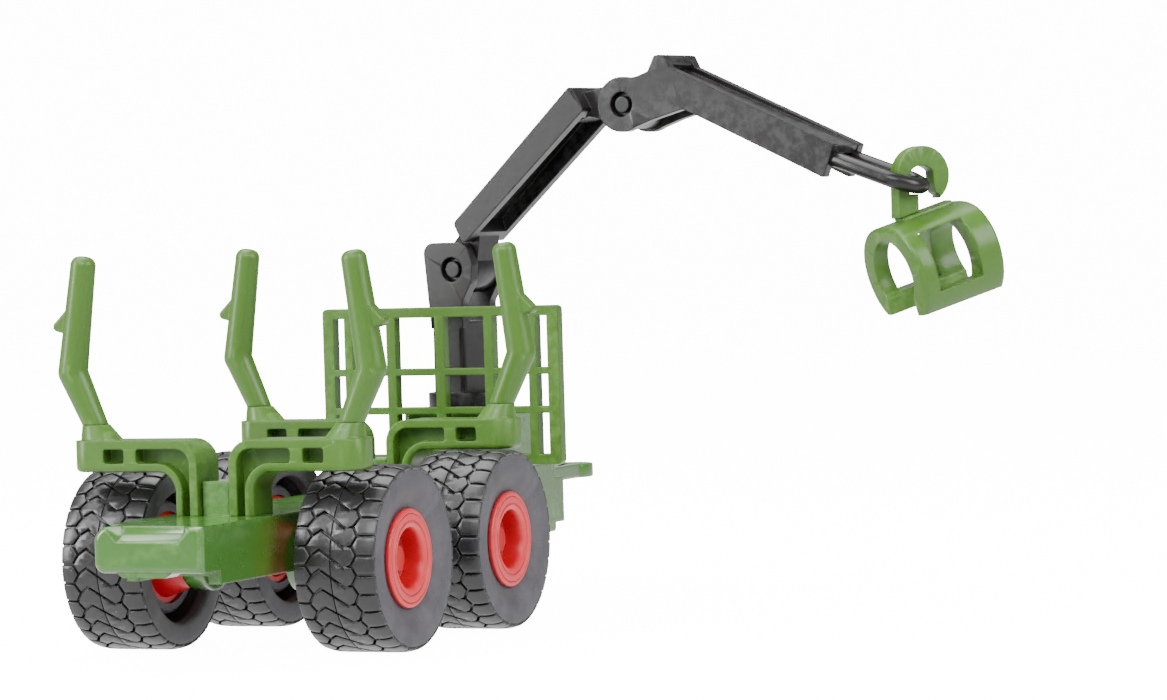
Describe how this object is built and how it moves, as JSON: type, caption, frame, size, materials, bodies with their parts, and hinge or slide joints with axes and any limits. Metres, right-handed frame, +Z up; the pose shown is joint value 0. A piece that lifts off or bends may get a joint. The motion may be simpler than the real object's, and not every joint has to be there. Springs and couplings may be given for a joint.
{
  "type": "toy forestry trailer",
  "caption": "Toy timber trailer with bunk stakes, tandem wheels, a headboard and a folding crane arm that carries a hang-on log grapple.",
  "frame": {"origin": "in the middle of the drawbar eye, on the trailer's centre line", "axes": "+Y forward towards the drawbar, +X to the trailer's right, +Z up"},
  "size_m": [0.0822, 0.1036, 0.0592],
  "materials": {
    "green_paint": "gloss",
    "green_plastic": "satin",
    "black_plastic": "satin",
    "red_plastic": "satin",
    "tyre_rubber": "matte",
    "steel": "satin"
  },
  "bodies": {
    "chassis": {"chassis_frame": "green_paint", "drawbar": "green_paint", "crane_tower": "green_paint", "rear_axle": "steel", "front_axle": "steel", "headboard": "green_plastic", "bunk_arm_rear_right": "green_plastic", "bunk_arm_rear_left": "green_plastic", "bunk_arm_front_right": "green_plastic", "bunk_arm_front_left": "green_plastic", "stake_rear_right": "green_plastic", "stake_rear_left": "green_plastic", "stake_front_right": "green_plastic", "stake_front_left": "green_plastic"},
    "wheel_rear_right": {"rim_rear_right": "red_plastic", "tyre_rear_right": "tyre_rubber"},
    "wheel_rear_left": {"rim_rear_left": "red_plastic", "tyre_rear_left": "tyre_rubber"},
    "wheel_front_right": {"rim_front_right": "red_plastic", "tyre_front_right": "tyre_rubber"},
    "wheel_front_left": {"rim_front_left": "red_plastic", "tyre_front_left": "tyre_rubber"},
    "column": {"crane_column": "black_plastic"},
    "boom": {"main_boom": "black_plastic"},
    "arm": {"outer_boom": "black_plastic", "boom_loop": "black_plastic"},
    "grapple": {"grapple_hook": "green_plastic", "grapple_saddle": "green_plastic"}
  },
  "joints": [
    {"name": "wheel_rear_right_spin", "type": "hinge", "parent": "chassis", "child": "wheel_rear_right", "pos_m": [0, -0.0782, -0.0037], "axis": [1, 0, 0], "continuous": true},
    {"name": "wheel_rear_left_spin", "type": "hinge", "parent": "chassis", "child": "wheel_rear_left", "pos_m": [0, -0.0782, -0.0037], "axis": [1, 0, 0], "continuous": true},
    {"name": "wheel_front_right_spin", "type": "hinge", "parent": "chassis", "child": "wheel_front_right", "pos_m": [0, -0.0541, -0.0037], "axis": [1, 0, 0], "continuous": true},
    {"name": "wheel_front_left_spin", "type": "hinge", "parent": "chassis", "child": "wheel_front_left", "pos_m": [0, -0.0541, -0.0037], "axis": [1, 0, 0], "continuous": true},
    {"name": "crane_slew", "type": "hinge", "parent": "chassis", "child": "column", "pos_m": [0, -0.0274, 0.0084], "axis": [0, 0, 1], "continuous": true},
    {"name": "boom_lift", "type": "hinge", "parent": "column", "child": "boom", "pos_m": [0.00059, -0.02748, 0.0239], "axis": [-0.1392, -0.9903, 0], "range_deg": [-33, 38]},
    {"name": "elbow", "type": "hinge", "parent": "boom", "child": "arm", "pos_m": [0.02258, -0.03057, 0.0411], "axis": [0.1392, 0.9903, 0], "range_deg": [-42, 62]},
    {"name": "grapple_swing", "type": "hinge", "parent": "arm", "child": "grapple", "pos_m": [0.05509, -0.03337, 0.03183], "axis": [0.6832, -0.6767, -0.2746], "range_deg": [-8, 45]}
  ]
}
